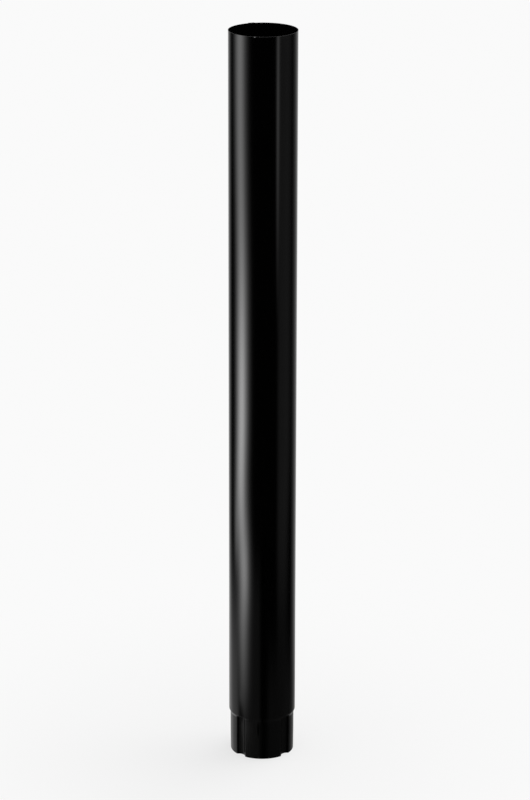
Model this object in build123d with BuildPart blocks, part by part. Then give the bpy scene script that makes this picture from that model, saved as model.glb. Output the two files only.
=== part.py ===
"""Round steel downpipe with a swaged, fluted spigot and a lengthwise lock seam.

The pipe is one strip of sheet, so its cross-section is one closed outline. It is worked out for
the round body and for the fluted spigot with the same edges in the same order, and the shoulder
between the two is a loft. Outline points are complex numbers, x + y * 1j.

Millimetres. +Z runs up the pipe's axis from the spigot's end edge, and -Y is the front.
"""

import os
from cmath import phase, rect
from math import pi, radians, sqrt

from build123d import *

# Driving dimensions
overall_length = 1000.0
body_diameter = 90.0
sheet = 0.6
spigot_diameter = 86.2
spigot_end_diameter = 85.6
spigot_length = 54.0
lead_in_length = 26.0
shoulder_height = 5.5

flute_count = 4
first_flute_angle = radians(137.5)
flute_half_angle = radians(11.2)
flute_edge_radius = 1.6
flute_depth = 4.8

seam_angle = radians(110)
seam_fold_spread = 3.0
seam_gap = 0.1
seam_jog_radius = 0.5

# Sizes worked out from them
body_radius = body_diameter / 2
spigot_radius = spigot_diameter / 2
shoulder_steps = 8
flute_pitch = 2 * pi / flute_count
layer = sheet + seam_gap
fold_outside = layer + sheet / 2
fold_inside = fold_outside - sheet
seam_turn = seam_angle - pi / 2

# The flute's outer skin is a groove arc between two edge arcs that leave the land on its tangent
edge_centre = rect(spigot_radius - flute_edge_radius, flute_half_angle)
flute_floor = spigot_radius - flute_depth
groove_radius = (abs(edge_centre - flute_floor) ** 2 - flute_edge_radius**2) / (
    2 * (flute_edge_radius + edge_centre.real - flute_floor)
)
groove_centre = flute_floor + groove_radius
groove_side = phase(groove_centre - edge_centre)


def unit(direction):
    return direction / abs(direction)


def flute_points(depth):
    """Half a flute about +X at a depth in the sheet: floor, foot, bend and land edge."""
    edge = flute_edge_radius - depth
    groove = groove_radius + depth
    return [
        groove_centre - groove,
        groove_centre - groove * rect(1, groove_side),
        edge_centre + edge * rect(1, (groove_side + flute_half_angle) / 2),
        edge_centre + edge * rect(1, flute_half_angle),
    ]


def ring(fluted, depth, start, end):
    """The outline from one side of the seam round to the other, as via and end points in turn."""
    radius = (spigot_radius if fluted else body_radius) - depth
    path = []
    angle = start
    for middle in [first_flute_angle + flute_pitch * k for k in range(flute_count)]:
        floor, foot, bend, edge = [
            (abs(point) if fluted else radius, phase(point)) for point in flute_points(depth)
        ]
        path += [rect(radius, (angle + middle - edge[1]) / 2), rect(edge[0], middle - edge[1])]
        path += [rect(bend[0], middle - bend[1]), rect(foot[0], middle - foot[1])]
        path += [rect(floor[0], middle), rect(foot[0], middle + foot[1])]
        path += [rect(bend[0], middle + bend[1]), rect(edge[0], middle + edge[1])]
        angle = middle + edge[1]
    return path + [rect(radius, (angle + end) / 2), rect(radius, end)]


class LockSeam:
    """The two hooked edges in the seam's own frame: x across to the right, y outward.

    Four layers lie on each other. The left edge runs under the stack and folds back at the right
    as the third layer. The right edge runs over it and folds back at the left as the second.
    On the body the stack stands outward, on the spigot inward.
    """

    def __init__(self, fluted):
        self.radius = spigot_radius if fluted else body_radius
        self.outward = -1 if fluted else 1
        flush = sqrt(self.radius**2 - seam_fold_spread**2) - sheet
        self.base = flush - 3 * layer if fluted else flush
        self.right_fold = complex(seam_fold_spread, self.base + fold_outside)
        self.left_fold = complex(-seam_fold_spread, self.base + layer + fold_outside)
        self.jog_fold = self.left_fold if fluted else self.right_fold
        self.jog_centre = self.find_jog_centre()

    def find_jog_centre(self):
        """The bend between the ring and the fold that the strip passes round, tangent to both."""
        reach = self.radius + seam_jog_radius
        if self.outward < 0:
            reach = self.radius - sheet - seam_jog_radius
        distance = fold_outside + layer + seam_jog_radius
        fold = self.jog_fold
        along = (abs(fold) ** 2 + reach**2 - distance**2) / (2 * abs(fold))
        return unit(fold) * complex(along, -self.outward * sqrt(reach**2 - along**2))

    def bottom(self, level):
        return self.base + (level - 1) * layer

    def top(self, level):
        return self.bottom(level) + sheet

    def jog(self, depth):
        """From the fold's end of the stack to the ring: start, via, middle, via, end."""
        near = depth if self.outward > 0 else sheet - depth
        first = fold_outside + seam_gap + sheet - near
        second = seam_jog_radius + near
        towards = unit(self.jog_centre - self.jog_fold)
        upright = complex(0, self.outward)
        out = self.outward * unit(self.jog_centre)
        return [
            self.jog_fold + first * upright,
            self.jog_fold + first * unit(upright + towards),
            self.jog_fold + first * towards,
            self.jog_centre - second * unit(towards + out),
            self.jog_centre - second * out,
        ]

    def plain(self, depth, end):
        """The flush edge's way from the stack to the ring, along the ring: the same five points."""
        radius = self.radius - depth
        level = (self.top(4) if self.outward < 0 else self.top(1)) - depth
        start = complex(-self.outward * sqrt(radius**2 - level**2), level)
        step = (end - phase(start)) / 4
        return [start] + [rect(radius, phase(start) + step * k) for k in (1, 2, 3, 4)]


def outline(fluted):
    """The whole section: its points, with a via point or None for a straight edge between them."""
    seam = LockSeam(fluted)
    left_end = phase(LockSeam(True).jog_centre)
    right_end = phase(LockSeam(False).jog_centre)
    to_pipe = rect(1, seam_turn)

    def sides(depth):
        if fluted:
            left, right = seam.jog(depth), seam.plain(depth, right_end)
        else:
            left, right = seam.plain(depth, left_end), seam.jog(depth)
        around = ring(fluted, depth, left_end + seam_turn, right_end + seam_turn + 2 * pi)
        return left + [point / to_pipe for point in around[:-1]] + right[::-1]

    spread = seam_fold_spread
    path = [complex(-spread, seam.bottom(3)), None, complex(spread, seam.bottom(3))]
    path += [seam.right_fold + fold_inside, complex(spread, seam.top(1)), None]
    path += sides(0.0)
    path += [None, complex(-spread, seam.top(4))]
    path += [seam.left_fold - fold_outside, complex(-spread, seam.bottom(2))]
    path += [None, complex(spread, seam.bottom(2)), None, complex(spread, seam.top(2))]
    path += [None, complex(-spread, seam.top(2))]
    path += [seam.left_fold - fold_inside, complex(-spread, seam.bottom(4)), None]
    path += sides(sheet)[::-1]
    path += [None, complex(spread, seam.bottom(1))]
    path += [seam.right_fold + fold_outside, complex(spread, seam.top(3))]
    path += [None, complex(-spread, seam.top(3)), None, path[0]]
    return [point if point is None else point * to_pipe for point in path]


body_outline = outline(fluted=False)
spigot_outline = outline(fluted=True)
end_outline = [
    point if point is None else point * spigot_end_diameter / spigot_diameter
    for point in spigot_outline
]


def section(height, path):
    """The sheet's cross-section at one height. Made outside any block, which would join edges."""
    points = [point if point is None else (point.real, point.imag, height) for point in path]
    edges = [
        Line(start, end) if via is None else ThreePointArc(start, via, end)
        for start, via, end in zip(points[0::2], points[1::2], points[2::2])
    ]
    return Face(Wire(edges))


def shoulder_section(share):
    """A section of the shoulder, from the spigot's at share 0 to the body's at share 1."""
    rise = share * share * (3 - 2 * share)
    path = [
        low if low is None else low + (high - low) * rise
        for low, high in zip(spigot_outline, body_outline)
    ]
    return section(spigot_length + share * shoulder_height, path)


lead_in = [section(0, end_outline), section(lead_in_length, spigot_outline)]
shoulder = [shoulder_section(step / shoulder_steps) for step in range(shoulder_steps + 1)]

with BuildPart() as downpipe:
    loft(lead_in, ruled=True)
    extrude(lead_in[-1], amount=spigot_length - lead_in_length)
    loft(shoulder, ruled=True)
    extrude(shoulder[-1], amount=overall_length - spigot_length - shoulder_height)

downpipe.part.label = "downpipe"
os.makedirs("parts", exist_ok=True)
export_step(downpipe.part, "parts/downpipe.step")
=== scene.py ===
"""Round black downpipe, standing on its fluted spigot.

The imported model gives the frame. One piece takes the place of the CAD node: the same sheet,
as a dense smooth surface worked out with numpy. Its section is one strip with two skins, given
as complex numbers x + y * 1j. The strip runs round the pipe, and its two hooked edges lie in each
other as the lock seam's four layers.

Metres. +Z runs up the pipe's axis from the spigot's end edge, and -Y is the front.
"""

from cmath import phase, rect
from functools import cached_property
from math import degrees, pi, radians, sqrt

import bpy
import numpy as np
from mathutils import Euler, Matrix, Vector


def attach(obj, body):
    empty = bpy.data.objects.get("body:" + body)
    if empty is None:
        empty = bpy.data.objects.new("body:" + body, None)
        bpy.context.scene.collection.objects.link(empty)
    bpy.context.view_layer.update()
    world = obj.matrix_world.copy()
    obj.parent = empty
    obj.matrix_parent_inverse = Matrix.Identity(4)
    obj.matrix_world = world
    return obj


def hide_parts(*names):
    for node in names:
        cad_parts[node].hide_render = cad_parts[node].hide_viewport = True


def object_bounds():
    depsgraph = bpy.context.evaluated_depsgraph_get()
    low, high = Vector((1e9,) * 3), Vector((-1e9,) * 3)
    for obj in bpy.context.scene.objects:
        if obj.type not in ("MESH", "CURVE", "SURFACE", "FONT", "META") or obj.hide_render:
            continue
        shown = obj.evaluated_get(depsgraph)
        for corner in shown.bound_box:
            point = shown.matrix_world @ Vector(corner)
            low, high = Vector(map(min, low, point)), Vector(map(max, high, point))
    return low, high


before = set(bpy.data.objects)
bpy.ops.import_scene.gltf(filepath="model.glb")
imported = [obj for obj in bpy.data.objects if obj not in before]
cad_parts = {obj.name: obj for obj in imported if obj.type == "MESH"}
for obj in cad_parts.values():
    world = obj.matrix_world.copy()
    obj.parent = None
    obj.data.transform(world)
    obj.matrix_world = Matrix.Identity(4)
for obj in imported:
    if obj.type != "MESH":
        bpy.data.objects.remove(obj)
cad_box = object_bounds()

bl_info = {
    "name": "Round downpipe",
    "version": (1, 0),
    "blender": (4, 5, 0),
    "location": "3D View > Sidebar > Downpipe",
    "description": "Makes a round sheet downpipe with a fluted spigot and its studio",
    "category": "Add Mesh",
}

MM = 0.001

# Rows of the pipe's grid in each stretch of its height, and the turn that makes an edge sharp
LEAD_IN_ROWS = 4
SPIGOT_ROWS = 4
SHOULDER_ROWS = 25
BODY_ROWS = 20
SHARP_DEGREES = 30

# Marks that the pipe in the photo has: where each is, in metres, and how far it spreads.
# A band's four values are where it starts, is full, is still full and ends.
# The burr at the rim has rougher coating and a pale patch, which is a painted glint where the burr
# catches light.
BURR_AND_GLINT = (-0.0105, -0.0438, 0.9998)
BURR_AND_GLINT_SPREAD = (0.0008, 0.002, 0.0006)
# The crease's dark band is painted shade: the coating there reflects nothing.
CREASE_SHADE_X = -0.0052
CREASE_SHADE_WIDTH = 0.0011
CREASE_SHADE_FRONT = (0.0, -0.01)
CREASE_SHADE_BAND = (0.031, 0.041, 0.049, 0.056)

# Noise in the coating and on the cut edges: lumps a metre along x, y and z
PEEL_LUMPS = (700, 700, 500)
ROLLING_LUMPS = (160, 160, 4)
CLOUD_LUMPS = (14, 14, 5)
SHEAR_LUMPS = (900, 900, 3000)

# How much higher the rolling lines are than the peel, how light or dull a tone gets, and what
# each cause adds to the roughness
ROLLING_TO_PEEL = 3
LIGHT_TONE = 1.3
DULL_TONE = 0.8
CLOUD_ROUGHNESS = 0.04
BURR_ROUGHNESS = 0.4
WORKED_ROUGHNESS = 0.1
SHEAR_ROUGHNESS = 0.1
WORKED_HEIGHTS = (0.062, 0.052)

# The camera's sensor and how far it sees in metres
SENSOR_WIDTH_MM = 36
SIGHT = 100

# The studio in metres. The floor is partly plain backdrop beside the pipe, and wholly so past the
# shadow's reach.
FLOOR_HALF = 15.0
PLAIN_NEAR = 0.7
SHADOW_REACH = (0.05, 0.6)
KEY_PLACE = (1.5, 0.9, 2.6)
KEY_SIZE = 2.4
DRUM_HUB = 0.001
DRUM_RADIUS = 0.5
DRUM_BOTTOM = -1.2
DRUM_TOP = 2.2
DRUM_STEPS = 96

# The drum's panels. Directions are in degrees to the right of the front, heights in metres. A
# bell is a middle and a half width. An end, a foot or a top is a step: where it starts and where
# it is full. A lean is a step in height and the degrees by which a panel lies further left.
SOFTBOX_BELL = (-66, 18)
SOFTBOX_FOOT = (-0.22, 0.12)
SOFTBOX_LEAN = (0.12, 0.4, 8.5)
HOT_SPOT_BELL = (-73, 17)
HOT_SPOT_HEIGHT_BELL = (0.34, 0.2)
BULGE_HEIGHT_BELL = (0.21, 0.09)
BULGE_DEGREES = 6.5
TOP_LEAN = (0.5, 0.85, 6)
FOOT_LEAN = (-0.01, 0.07, -2.6)
STRIP_BELL = (48.2, 4.8)
STRIP_FOOT = (0.45, 0.85)
REFLECTOR_NEAR_END = (42, 60)
REFLECTOR_FAR_END = (118, 80)
REFLECTOR_LEAN = (0.3, 0.1, 8)
REFLECTOR_FOOT = (-0.15, 0.2)
TABLE_BAND = (-165, -130, -100, -80)
TABLE_TOP = (0.16, -0.1)
FLOOR_LEFT_BAND = (-100, -50, -14, 0)
FLOOR_LEFT_TOP = (0.17, 0.02)
FLOOR_RIGHT_BAND = (10, 28, 90, 140)
FLOOR_RIGHT_TOP = (0.03, -0.13)
FLOOR_RIGHT_PART = 0.65
REAR_LEFT_END = (-116, -168)
REAR_RIGHT_END = (103, 180)

# Steps in height by which the rear walls lose a part of their brightness: low down, high up and
# near the drum's bottom
REAR_LOSSES = ((0.05, -0.15, 0.4), (0.95, 1.05, 0.7), (-0.3, -0.8, 1))

# Small patches of the softbox's hot spot: its bells over the direction and the height, and its
# brightness as a part of the hot spot's
HOT_PATCHES = (
    ((-57, 12), (0.09, 0.06), 0.28),
    ((-96, 10), (0.15, 0.055), 0.2),
    ((-76, 10), (-0.145, 0.03), 0.07),
)


def length(label, text, default_mm):
    return bpy.props.FloatProperty(
        name=label, description=text, default=default_mm * MM, min=0, precision=4, unit="LENGTH"
    )


def angle(label, text, default_degrees):
    return bpy.props.FloatProperty(
        name=label, description=text, default=radians(default_degrees), subtype="ANGLE"
    )


def share(label, text, default):
    return bpy.props.FloatProperty(
        name=label, description=text, default=default, min=0, max=1, subtype="FACTOR"
    )


def level(label, text, default, unit="NONE"):
    return bpy.props.FloatProperty(name=label, description=text, default=default, min=0, unit=unit)


def colour(label, text, default):
    return bpy.props.FloatVectorProperty(
        name=label, description=text, default=default, min=0, max=1, subtype="COLOR"
    )


class PipeSizes(bpy.types.PropertyGroup):
    """Sizes of the sheet, the body, the spigot and the seam."""

    overall: length(
        "Overall length", "Height from the spigot's end to the mouth", cad_box[1].z / MM
    )
    body: length("Body diameter", "Outside diameter of the round body", 90.0)
    sheet: length("Sheet", "Thickness of the coated sheet", 0.6)
    spigot: length("Spigot diameter", "Outside diameter over the spigot's lands", 86.2)
    spigot_end: length("Spigot end diameter", "Outside diameter at the end edge", 85.6)
    spigot_length: length("Spigot length", "Height of the spigot below the shoulder", 54.0)
    lead_in: length("Lead-in", "Height of the slight taper at the end", 26.0)
    shoulder: length("Shoulder", "Height of the swage between spigot and body", 5.5)
    flute_count: bpy.props.IntProperty(
        name="Flutes", description="Flutes round the spigot", default=4, min=1
    )
    first_flute: angle("First flute", "Direction of the first flute past the seam", 137.5)
    flute_half: angle("Flute half angle", "From a flute's middle to the edge arc's centre", 11.2)
    flute_edge: length("Flute edge radius", "Outside radius where a flute leaves the land", 1.6)
    flute_depth: length("Flute depth", "From the land down to the flute's floor", 4.8)
    seam_angle: angle("Seam angle", "Direction of the lock seam", 110)
    seam_spread: length("Seam spread", "From the seam's middle to a fold's centre", 3.0)
    seam_gap: length("Seam gap", "Air between the seam's layers", 0.1)
    seam_jog: length("Seam jog radius", "Small radius where the sheet steps round the seam", 0.5)


class PipeFinish(bpy.types.PropertyGroup):
    """Colours and gloss of the coating and of the cut edges."""

    coating: colour("Coating", "Colour of the coil coating", (0.0004, 0.0004, 0.00045))
    roughness: share("Roughness", "Roughness of the coating", 0.12)
    peel: length("Peel", "Height of the coating's fine texture", 0.004)
    edge: colour("Cut edge", "Colour of the sheet's cut edges", (0.15, 0.15, 0.155))
    # A pale colour painted at the burr as its glint, where the burr catches light, not a colour of
    # the coating.
    painted_glint: colour("Scratch", "Colour where the coating is rubbed off", (0.3, 0.3, 0.3))
    edge_roughness: share("Cut edge roughness", "Roughness of the cut edges", 0.3)


class StudioSettings(bpy.types.PropertyGroup):
    """The camera and the light."""

    distance: length("Camera distance", "From the pipe's axis to the camera, level", 3863.5)
    height: length("Camera height", "Height of the camera above the floor", 1810.6)
    pitch: angle("Pitch", "How far the camera looks down", 18.707)
    yaw: angle("Yaw", "How far the camera is turned to the right", 0.048)
    roll: angle("Roll", "How far the camera is rolled, anticlockwise", 0.111)
    lens: level("Lens", "Focal length on a 36 mm long side", 138.55, "CAMERA")
    backdrop: share("Backdrop", "Brightness of the background", 0.955)
    floor: share("Floor", "Colour of the floor", 0.9)
    fill: level("Fill", "Strength of the light from all sides", 0.85)
    key: level("Key", "Power of the key lamp", 40.0, "POWER")
    softbox: level("Softbox", "Brightness of the tall softbox at the left", 2.9)
    hot_spot: level("Hot spot", "Extra brightness of the softbox's middle", 4.4)
    strip: level("Strip", "Brightness of the strip light at the right", 0.85)
    reflector: level("Reflector", "Brightness of the dim reflector at the right", 0.14)
    table: level("Table", "Brightness of the lit table low at the left", 0.44)
    near_floor: level("Near floor", "Brightness of the floor in front of the pipe", 0.085)
    rear: level("Rear", "Brightness of the pale walls behind the pipe", 0.88)


def unit(direction):
    """The same direction with a length of 1."""
    return direction / abs(direction)


def arc(start, via, end, steps):
    """Points after start on the circle through three points, at equal angles up to end.

    The centre c is where |start - c| = |via - c| = |end - c|, and the turn about it is the sum
    of the turns from start to via and from via to end.
    """
    u, w = via - start, end - start
    cross = (u.conjugate() * w).imag
    centre = start + 1j * (u * abs(w) ** 2 - w * abs(u) ** 2) / (2 * cross)
    turn = phase((via - centre) / (start - centre)) + phase((end - centre) / (via - centre))
    return centre + (start - centre) * np.exp(1j * turn * np.arange(1, steps + 1) / steps)


class Section:
    """The strip's cross-section, on the round body or on the fluted spigot."""

    LAND_STEPS = 32
    EDGE_STEPS = 6
    GROOVE_STEPS = 12
    FOLD_STEPS = 12
    JOG_STEPS = 6

    def __init__(self, sizes, fluted):
        self.sizes = sizes
        self.fluted = fluted
        self.outward = -1 if fluted else 1
        self.radius = (sizes.spigot if fluted else sizes.body) / 2
        self.layer = sizes.sheet + sizes.seam_gap
        self.fold_outside = self.layer + sizes.sheet / 2
        self.fold_inside = self.fold_outside - sizes.sheet
        self.seam_turn = sizes.seam_angle - pi / 2
        flush = sqrt(self.radius**2 - sizes.seam_spread**2) - sizes.sheet
        self.base = flush - 3 * self.layer if fluted else flush
        self.right_fold = complex(sizes.seam_spread, self.base + self.fold_outside)
        self.left_fold = complex(-sizes.seam_spread, self.base + self.layer + self.fold_outside)
        self.jog_fold = self.left_fold if fluted else self.right_fold
        self.jog_centre = self.find_jog_centre()

    def find_jog_centre(self):
        """The bend between the ring and the fold that the strip passes round, tangent to both.

        It lies at the reach r from the axis and the distance d from the fold's centre f, so it is
        along f by (|f| squared + r squared - d squared) / 2|f|, and aside by what is left of r.
        """
        sizes = self.sizes
        reach = self.radius + sizes.seam_jog
        if self.outward < 0:
            reach = self.radius - sizes.sheet - sizes.seam_jog
        distance = self.fold_outside + self.layer + sizes.seam_jog
        fold = self.jog_fold
        along = (abs(fold) ** 2 + reach**2 - distance**2) / (2 * abs(fold))
        return unit(fold) * complex(along, -self.outward * sqrt(reach**2 - along**2))

    def bottom(self, number):
        """How far out the inner face of a layer lies. The innermost layer is number 1."""
        return self.base + (number - 1) * self.layer

    def top(self, number):
        """How far out the outer face of a layer lies."""
        return self.bottom(number) + self.sizes.sheet

    def flute_points(self, depth):
        """Half a flute about +X at a depth in the sheet: floor, foot, bend and land edge.

        The groove's circle passes through the floor f and touches the edge circle, with the
        centre e and the radius r. Its radius is (|e - f| squared - r squared) / 2(r + e's x - f).
        """
        sizes = self.sizes
        spigot_radius = sizes.spigot / 2
        edge_centre = rect(spigot_radius - sizes.flute_edge, sizes.flute_half)
        floor = spigot_radius - sizes.flute_depth
        groove_radius = (abs(edge_centre - floor) ** 2 - sizes.flute_edge**2) / (
            2 * (sizes.flute_edge + edge_centre.real - floor)
        )
        groove_centre = floor + groove_radius
        side = phase(groove_centre - edge_centre)
        edge = sizes.flute_edge - depth
        groove = groove_radius + depth
        return [
            groove_centre - groove,
            groove_centre - groove * rect(1, side),
            edge_centre + edge * rect(1, (side + sizes.flute_half) / 2),
            edge_centre + edge * rect(1, sizes.flute_half),
        ]

    def ring(self, depth, start, end):
        """The points from one side of the seam round to the other, after the first.

        Lands are arcs about the axis. Each flute goes down over an edge arc, along the groove's
        arc and up over an edge arc. On the body all of them lie on one circle.
        """
        sizes = self.sizes
        radius = self.radius - depth
        pitch = 2 * pi / sizes.flute_count
        points = self.flute_points(depth)
        floor, foot, bend, edge = [
            (abs(point) if self.fluted else radius, phase(point)) for point in points
        ]

        parts = []
        reached = start
        for middle in [sizes.first_flute + pitch * k for k in range(sizes.flute_count)]:
            halfway = rect(radius, (reached + middle - edge[1]) / 2)
            land_end = rect(radius, middle - edge[1])
            down = [rect(reach, middle - turn) for reach, turn in (edge, bend, foot)]
            up = [rect(reach, middle + turn) for reach, turn in (foot, bend, edge)]
            parts += [
                arc(rect(radius, reached), halfway, land_end, self.LAND_STEPS),
                arc(*down, self.EDGE_STEPS),
                arc(down[-1], rect(floor[0], middle + floor[1]), up[0], self.GROOVE_STEPS),
                arc(*up, self.EDGE_STEPS),
            ]
            reached = middle + edge[1]
        halfway = rect(radius, (reached + end) / 2)
        parts.append(arc(rect(radius, reached), halfway, rect(radius, end), self.LAND_STEPS))
        return np.concatenate(parts)

    def jog(self, depth):
        """From the fold's end of the stack to the ring, with the first point.

        One arc turns about the fold's centre and the next turns back about the jog's centre. They
        meet on the line between the two centres.
        """
        near = depth if self.outward > 0 else self.sizes.sheet - depth
        first = self.fold_outside + self.sizes.seam_gap + self.sizes.sheet - near
        second = self.sizes.seam_jog + near
        towards = unit(self.jog_centre - self.jog_fold)
        upright = complex(0, self.outward)
        out = self.outward * unit(self.jog_centre)
        start = self.jog_fold + first * upright
        middle = self.jog_fold + first * towards
        over = arc(start, self.jog_fold + first * unit(upright + towards), middle, self.JOG_STEPS)
        via = self.jog_centre - second * unit(towards + out)
        under = arc(middle, via, self.jog_centre - second * out, self.JOG_STEPS)
        return np.concatenate([[start], over, under])

    def plain(self, depth, end):
        """The flush edge's way from the stack to the ring, as many points along the ring.

        It starts where the skin's circle of radius r crosses the layer's face at the height h,
        which is at sqrt(r squared - h squared) to the side, and goes on by equal angles.
        """
        radius = self.radius - depth
        height = (self.top(4) if self.outward < 0 else self.top(1)) - depth
        start = phase(complex(-self.outward * sqrt(radius**2 - height**2), height))
        return radius * np.exp(1j * np.linspace(start, end, 2 * self.JOG_STEPS + 1))

    def skin(self, depth, left_end, right_end):
        """One skin of the strip, from its hooked end under the seam round to the other hooked end.

        The skin at no depth faces outward on the pipe. The strip starts as the third layer, folds
        round the right to the first, runs round the pipe, comes back as the fourth layer and folds
        round the left to the second.
        """
        spread = self.sizes.seam_spread
        if depth:
            right_levels = self.top(3), self.bottom(1), self.fold_outside
            left_levels = self.bottom(4), self.top(2), self.fold_inside
        else:
            right_levels = self.bottom(3), self.top(1), self.fold_inside
            left_levels = self.top(4), self.bottom(2), self.fold_outside
        third, first, right_radius = right_levels
        fourth, second, left_radius = left_levels
        if self.fluted:
            left, right = self.jog(depth), self.plain(depth, right_end)
        else:
            left, right = self.plain(depth, left_end), self.jog(depth)
        start, end = left_end + self.seam_turn, right_end + self.seam_turn + 2 * pi
        round_pipe = self.ring(depth, start, end)
        right_start, right_stop = complex(spread, third), complex(spread, first)
        left_start, left_stop = complex(-spread, fourth), complex(-spread, second)
        path = [
            [complex(-spread, third), right_start],
            arc(right_start, self.right_fold + right_radius, right_stop, self.FOLD_STEPS),
            left,
            round_pipe[:-1] / rect(1, self.seam_turn),
            right[::-1],
            [left_start],
            arc(left_start, self.left_fold - left_radius, left_stop, self.FOLD_STEPS),
            [complex(spread, second)],
        ]
        return np.concatenate(path) * rect(1, self.seam_turn)

    def outline(self, left_end, right_end):
        """Both skins as one closed outline: out along the outer one and back along the inner."""
        outer = self.skin(0.0, left_end, right_end)
        inner = self.skin(self.sizes.sheet, left_end, right_end)
        return np.concatenate([outer, inner[::-1]])


def pipe_heights(sizes):
    """The heights of the grid's rows: close together on the shoulder, sparse on straight walls."""
    shoulder_top = sizes.spigot_length + sizes.shoulder
    return np.unique(
        np.concatenate(
            [
                np.linspace(0, sizes.lead_in, LEAD_IN_ROWS),
                np.linspace(sizes.lead_in, sizes.spigot_length, SPIGOT_ROWS),
                np.linspace(sizes.spigot_length, shoulder_top, SHOULDER_ROWS),
                np.linspace(shoulder_top, sizes.overall, BODY_ROWS),
            ]
        )
    )


def pipe_surface(sizes):
    """The pipe as a grid of points over height and the way round the strip's outline.

    Below the shoulder a row is the spigot's outline, shrunk towards the end by the lead-in's
    taper. Across the shoulder it moves to the body's outline by 3 s squared less 2 s cubed,
    where s is the share of the shoulder's height.
    """
    spigot, body = Section(sizes, True), Section(sizes, False)
    ends = phase(spigot.jog_centre), phase(body.jog_centre)
    low, high = spigot.outline(*ends), body.outline(*ends)
    heights = pipe_heights(sizes)
    s = np.clip((heights - sizes.spigot_length) / sizes.shoulder, 0, 1)
    rise = s * s * (3 - 2 * s)
    taper = np.clip(1 - heights / sizes.lead_in, 0, 1)
    shrink = 1 - taper * (1 - sizes.spigot_end / sizes.spigot)
    flat = low * shrink[:, None] + (high - low) * rise[:, None]
    z = np.broadcast_to(heights[:, None], flat.shape)
    return np.stack([flat.real, flat.imag, z], axis=-1)


def wall_faces(rows, across):
    """Quads between the rows of a grid, each row closed into a ring: four corners in turn."""
    low = np.arange(rows - 1)[:, None] * across
    here = np.arange(across)
    beside = (here + 1) % across
    corners = [low + here, low + beside, low + across + beside, low + across + here]
    return np.stack(corners, axis=-1).reshape(-1, 4)


def strip_faces(rows, across):
    """Quads of the strip's walls, then of its ends between the skins, and which are cut edges.

    An end's quad number a joins the points a and a + 1 of the outer skin to the points facing
    them on the inner skin, which runs back from the row's last point.
    """
    half = across // 2
    a = np.arange(half - 1)
    cap = np.stack([a, a + 1, across - 2 - a, across - 1 - a], axis=-1)
    top = cap + (rows - 1) * across
    number = np.arange(across)
    raw_edges = np.tile((number == half - 1) | (number == across - 1), rows - 1)
    bare = np.concatenate([raw_edges, np.ones(2 * len(cap), bool)])
    return np.concatenate([wall_faces(rows, across), top, cap[:, ::-1]]), bare


def add_object(name, data):
    made = bpy.data.objects.new(name, data)
    bpy.context.scene.collection.objects.link(made)
    return made


def add_mesh(name, points, faces):
    """A mesh object from whole arrays, at the origin, with its place in its mesh."""
    mesh = bpy.data.meshes.new(name)
    mesh.from_pydata(points.reshape(-1, 3).tolist(), [], faces.tolist())
    mesh.update()
    return add_object(name, mesh)


class Signal:
    """A number that varies over a surface. Python's operators on it add Math nodes."""

    def __init__(self, graph, socket):
        self.graph = graph
        self.socket = socket

    def math(self, operation, *values):
        return self.graph.math(operation, *values)

    def __add__(self, other):
        return self.math("ADD", self, other)

    def __radd__(self, other):
        return self.math("ADD", other, self)

    def __sub__(self, other):
        return self.math("SUBTRACT", self, other)

    def __rsub__(self, other):
        return self.math("SUBTRACT", other, self)

    def __mul__(self, other):
        return self.math("MULTIPLY", self, other)

    def __rmul__(self, other):
        return self.math("MULTIPLY", other, self)

    def __truediv__(self, other):
        return self.math("DIVIDE", self, other)

    def __rtruediv__(self, other):
        return self.math("DIVIDE", other, self)

    def root(self):
        return self.math("SQRT", self)

    def step(self, start, full, size=1):
        """0 up to the start, the size past the full value and a smooth step between the two."""
        settings = {"interpolation_type": "SMOOTHSTEP"}
        node = self.graph.add("ShaderNodeMapRange", settings, (self, start, full, 0, size))
        return Signal(self.graph, node.outputs[0])

    def band(self, start, full, still_full, end):
        """0 up to the start, 1 between the two full values and 0 again from the end."""
        return self.step(start, full) * self.step(end, still_full)


class Graph:
    """A material's or the world's nodes."""

    def __init__(self, tree):
        self.tree = tree
        tree.nodes.clear()

    @cached_property
    def point(self):
        """The socket of the surface point's place on the object."""
        return self.add("ShaderNodeTexCoord").outputs["Object"]

    def add(self, kind, settings=None, values=()):
        """A node of a type, with its settings, then the values or links of its sockets."""
        node = self.tree.nodes.new(kind)
        for name, value in (settings or {}).items():
            setattr(node, name, value)
        pairs = values.items() if isinstance(values, dict) else enumerate(values)
        for key, value in pairs:
            if isinstance(value, Signal):
                value = value.socket
            if isinstance(value, bpy.types.NodeSocket):
                self.tree.links.new(value, node.inputs[key])
            else:
                node.inputs[key].default_value = value
        return node

    def math(self, operation, *values):
        node = self.add("ShaderNodeMath", {"operation": operation}, values)
        return Signal(self, node.outputs[0])

    def bell(self, value, middle, half_width):
        """1 at the middle, falling off both ways as e to the minus square of the distance."""
        distance = (value - middle) / half_width
        return self.math("EXPONENT", distance * distance * -1.0)

    def place(self):
        """The surface point's x, y and z on the object."""
        parts = self.add("ShaderNodeSeparateXYZ", values=(self.point,)).outputs
        return [Signal(self, socket) for socket in parts]

    def noise(self, lumps):
        """Noise with so many lumps a metre along x, y and z, from about 0 to 1."""
        moved = self.add("ShaderNodeMapping", values={"Vector": self.point, "Scale": lumps})
        values = {"Vector": moved.outputs[0], "Scale": 1.0, "Detail": 2.0}
        return Signal(self, self.add("ShaderNodeTexNoise", values=values).outputs[0])

    def mix(self, factor, first, second):
        """A colour between two, with the first at factor 0."""
        values = {"Factor": factor, "A": first, "B": second}
        return self.add("ShaderNodeMix", {"data_type": "RGBA"}, values).outputs["Result"]

    def finish(self, shader):
        output = self.add("ShaderNodeOutputMaterial")
        self.tree.links.new(shader, output.inputs["Surface"])


def new_material(name):
    material = bpy.data.materials.new(name)
    material.use_nodes = True
    return material, Graph(material.node_tree)


def opaque(rgb, gain=1.0):
    """A colour for a socket, lighter or darker by a factor."""
    return (*[gain * part for part in rgb], 1)


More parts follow.
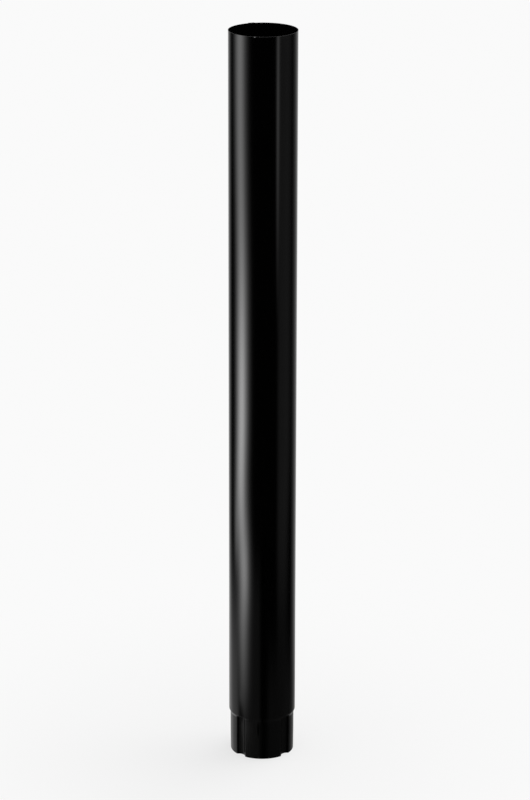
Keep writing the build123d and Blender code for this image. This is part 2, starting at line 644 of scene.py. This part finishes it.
def coating_material(finish):
    """Semi-gloss black coating with a fine peel, faint rolling lines and slight gloss changes.

    It is duller where the spigot is swaged. The crease is a fold, and its darkness is painted
    shade: a thin band made a metal as black as the coating, so it reflects nothing.
    """
    material, graph = new_material("black_coating")
    x, y, z = graph.place()
    clouds = graph.noise(CLOUD_LUMPS)
    # A patch at the burr on the rim: rougher coating, and a pale painted glint where the burr
    # catches light.
    bells = [graph.bell(*part) for part in zip((x, y, z), BURR_AND_GLINT, BURR_AND_GLINT_SPREAD)]
    burr_and_glint = bells[0] * bells[1] * bells[2]
    # Painted shade along the crease: a dark band with no reflection.
    crease_shade = graph.bell(x, CREASE_SHADE_X, CREASE_SHADE_WIDTH) * y.step(*CREASE_SHADE_FRONT)
    crease_shade = crease_shade * z.band(*CREASE_SHADE_BAND)
    height = graph.noise(PEEL_LUMPS) * finish.peel
    height = height + graph.noise(ROLLING_LUMPS) * (finish.peel * ROLLING_TO_PEEL)
    bump = graph.add("ShaderNodeBump", values={"Strength": 1.0, "Distance": 1.0, "Height": height})
    tone = graph.mix(clouds, opaque(finish.coating), opaque(finish.coating, LIGHT_TONE))
    roughness = finish.roughness + (clouds - 0.5) * CLOUD_ROUGHNESS + burr_and_glint * BURR_ROUGHNESS
    shader = graph.add(
        "ShaderNodeBsdfPrincipled",
        values={
            # Painted glint: the burr's patch turns the pale colour.
            "Base Color": graph.mix(burr_and_glint, tone, opaque(finish.painted_glint)),
            # Painted shade: the crease band is a black metal, so it reflects nothing.
            "Metallic": crease_shade,
            "Roughness": roughness + z.step(*WORKED_HEIGHTS, WORKED_ROUGHNESS),
            "IOR": 1.5,
            "Normal": bump.outputs[0],
        },
    )
    graph.finish(shader.outputs[0])
    return material


def edge_material(finish):
    """The sheared edge of the zinc-coated sheet, dull and streaked along the shear."""
    material, graph = new_material("cut_edge")
    streaks = graph.noise(SHEAR_LUMPS)
    shader = graph.add(
        "ShaderNodeBsdfPrincipled",
        values={
            "Base Color": graph.mix(streaks, opaque(finish.edge, DULL_TONE), opaque(finish.edge)),
            "Metallic": 1.0,
            "Roughness": finish.edge_roughness + (streaks - 0.5) * SHEAR_ROUGHNESS,
        },
    )
    graph.finish(shader.outputs[0])
    return material


def drum_material(studio):
    """What the pipe's gloss sees round it: a dark room with a softbox and other bright panels.

    Each panel is a product of smooth steps and bells over the turn, in degrees to the right of
    the front, and over the height z in metres. The sum of the panels, each times its setting's
    brightness, is what the drum gives off.
    """
    material, graph = new_material("studio_panels")
    x, y, z = graph.place()
    turn = graph.math("ARCTAN2", x, 0 - y) * degrees(1)
    bulge = graph.bell(z, *BULGE_HEIGHT_BELL) * BULGE_DEGREES
    lit = turn + bulge + z.step(*TOP_LEAN) + z.step(*FOOT_LEAN)
    softbox = graph.bell(lit + z.step(*SOFTBOX_LEAN), *SOFTBOX_BELL) * z.step(*SOFTBOX_FOOT)
    hot_spot = graph.bell(lit, *HOT_SPOT_BELL) * graph.bell(z, *HOT_SPOT_HEIGHT_BELL)
    for direction_bell, height_bell, part in HOT_PATCHES:
        patch = graph.bell(turn, *direction_bell) * graph.bell(z, *height_bell)
        hot_spot = hot_spot + patch * part
    strip = graph.bell(turn, *STRIP_BELL) * z.step(*STRIP_FOOT)
    far_end = (turn + z.step(*REFLECTOR_LEAN)).step(*REFLECTOR_FAR_END)
    reflector = turn.step(*REFLECTOR_NEAR_END) * far_end * z.step(*REFLECTOR_FOOT)
    table = turn.band(*TABLE_BAND) * z.step(*TABLE_TOP)
    floor_left = turn.band(*FLOOR_LEFT_BAND) * z.step(*FLOOR_LEFT_TOP)
    floor_right = turn.band(*FLOOR_RIGHT_BAND) * z.step(*FLOOR_RIGHT_TOP, FLOOR_RIGHT_PART)
    rear = turn.step(*REAR_LEFT_END) + turn.step(*REAR_RIGHT_END)
    for loss in REAR_LOSSES:
        rear = rear * (1 - z.step(*loss))
    glow = softbox * studio.softbox + hot_spot * studio.hot_spot + strip * studio.strip
    glow = glow + reflector * studio.reflector + table * studio.table
    glow = glow + (floor_left + floor_right) * studio.near_floor + rear * studio.rear
    shader = graph.add("ShaderNodeEmission", values={"Color": glow})
    graph.finish(shader.outputs[0])
    return material


def floor_material(studio):
    """Pale matt floor, which the camera sees blend into a plain backdrop away from the pipe."""
    material, graph = new_material("pale_floor")
    x, y, _ = graph.place()
    away = (x * x + y * y).root()
    camera = Signal(graph, graph.add("ShaderNodeLightPath").outputs["Is Camera Ray"])
    matt = graph.add("ShaderNodeBsdfDiffuse", values={"Color": opaque([studio.floor] * 3)})
    plain = graph.add("ShaderNodeEmission", values={"Strength": studio.backdrop})
    factor = (PLAIN_NEAR + away.step(*SHADOW_REACH, 1 - PLAIN_NEAR)) * camera
    mixed = graph.add("ShaderNodeMixShader", values=(factor, matt.outputs[0], plain.outputs[0]))
    graph.finish(mixed.outputs[0])
    return material


def drum_surface():
    """A cylinder about the pipe with a bottom: rows of r cos t, r sin t and a height.

    The rows are the hub, the corner and the top, and t goes round by equal angles.
    """
    way = np.linspace(0, 2 * pi, DRUM_STEPS, endpoint=False)
    reach = np.array([DRUM_HUB, DRUM_RADIUS, DRUM_RADIUS])[:, None]
    height = np.array([DRUM_BOTTOM, DRUM_BOTTOM, DRUM_TOP])[:, None]
    z = np.broadcast_to(height, (len(height), len(way)))
    return np.stack([reach * np.cos(way), reach * np.sin(way), z], axis=-1)


class DOWNPIPE_OT_pipe(bpy.types.Operator):
    """Make the pipe: one strip of coated sheet, locked at the seam and swaged to a spigot"""

    bl_idname = "downpipe.pipe"
    bl_label = "Pipe"

    def execute(self, context):
        sizes, finish = context.scene.pipe_sizes, context.scene.pipe_finish
        points = pipe_surface(sizes)
        rows, across = points.shape[:2]
        faces, bare = strip_faces(rows, across)
        pipe = add_mesh("downpipe_sheet", points, faces)
        pipe.data.materials.append(coating_material(finish))
        pipe.data.materials.append(edge_material(finish))
        pipe.data.polygons.foreach_set("material_index", bare.astype(np.int32))
        pipe.data.polygons.foreach_set("use_smooth", np.ones(len(faces), bool))
        pipe.data.set_sharp_from_angle(angle=radians(SHARP_DEGREES))
        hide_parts("downpipe")
        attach(pipe, "root")
        return {"FINISHED"}


class DOWNPIPE_OT_studio(bpy.types.Operator):
    """Make the camera, the white surroundings, the floor, the key lamp and the lit drum"""

    bl_idname = "downpipe.studio"
    bl_label = "Studio"

    def execute(self, context):
        studio = context.scene.pipe_studio
        context.scene.view_settings.view_transform = "Standard"
        self.add_camera(context, studio)
        self.add_world(context, studio)
        self.add_floor(studio)
        self.add_key(studio)
        self.add_drum(studio)
        return {"FINISHED"}

    def add_camera(self, context, studio):
        data = bpy.data.cameras.new("camera")
        data.lens = studio.lens
        data.sensor_width = SENSOR_WIDTH_MM
        data.clip_end = SIGHT
        camera = add_object("camera", data)
        turned = Euler((pi / 2 - studio.pitch, 0, -studio.yaw)).to_matrix().to_4x4()
        roll = Matrix.Rotation(studio.roll, 4, "Z")
        place = Matrix.Translation((0, -studio.distance, studio.height))
        camera.matrix_world = place @ turned @ roll
        context.scene.camera = camera

    def add_world(self, context, studio):
        """White to the camera and in gloss, and an even light from all sides otherwise."""
        world = bpy.data.worlds.new("studio")
        world.use_nodes = True
        context.scene.world = world
        graph = Graph(world.node_tree)
        path = graph.add("ShaderNodeLightPath")
        camera = Signal(graph, path.outputs["Is Camera Ray"])
        shiny = Signal(graph, path.outputs["Is Glossy Ray"])
        clear = Signal(graph, path.outputs["Is Transmission Ray"])
        light = (camera + shiny + clear) * studio.backdrop
        light = light + (1 - camera) * (1 - shiny) * (1 - clear) * studio.fill
        sky = graph.add("ShaderNodeBackground", values={"Strength": light})
        output = graph.add("ShaderNodeOutputWorld")
        graph.tree.links.new(sky.outputs[0], output.inputs["Surface"])

    def add_floor(self, studio):
        corners = np.array([[-1, -1, 0], [1, -1, 0], [1, 1, 0], [-1, 1, 0]]) * FLOOR_HALF
        floor = add_mesh("floor", corners, np.array([[0, 1, 2, 3]]))
        floor.data.materials.append(floor_material(studio))
        floor.visible_glossy = False

    def add_key(self, studio):
        data = bpy.data.lights.new("key", "AREA")
        data.size = KEY_SIZE
        data.energy = studio.key
        lamp = add_object("key", data)
        lamp.location = KEY_PLACE
        lamp.rotation_euler = (-lamp.location).to_track_quat("-Z", "Y").to_euler()

    def add_drum(self, studio):
        points = drum_surface()
        drum = add_mesh("studio_drum", points, wall_faces(*points.shape[:2]))
        drum.data.materials.append(drum_material(studio))
        drum.visible_camera = False
        drum.visible_diffuse = False
        drum.visible_shadow = False
        drum.visible_transmission = False


class DOWNPIPE_PT_panel(bpy.types.Panel):
    """Lists the makers and their settings"""

    bl_idname = "DOWNPIPE_PT_panel"
    bl_label = "Downpipe"
    bl_space_type = "VIEW_3D"
    bl_region_type = "UI"
    bl_category = "Downpipe"

    def draw(self, context):
        for operator, groups in MAKERS:
            self.layout.operator(operator.bl_idname)
            for group in groups:
                for name in GROUPS[group].__annotations__:
                    self.layout.prop(getattr(context.scene, group), name)


MAKERS = (
    (DOWNPIPE_OT_pipe, ("pipe_sizes", "pipe_finish")),
    (DOWNPIPE_OT_studio, ("pipe_studio",)),
)
GROUPS = {"pipe_sizes": PipeSizes, "pipe_finish": PipeFinish, "pipe_studio": StudioSettings}
CLASSES = (*GROUPS.values(), DOWNPIPE_OT_pipe, DOWNPIPE_OT_studio, DOWNPIPE_PT_panel)


def register():
    for kind in CLASSES:
        bpy.utils.register_class(kind)
    for name, kind in GROUPS.items():
        setattr(bpy.types.Scene, name, bpy.props.PointerProperty(type=kind))


def unregister():
    for name in GROUPS:
        delattr(bpy.types.Scene, name)
    for kind in reversed(CLASSES):
        bpy.utils.unregister_class(kind)


def main():
    register()
    bpy.ops.downpipe.pipe()
    bpy.ops.downpipe.studio()


if __name__ == "__main__":
    main()
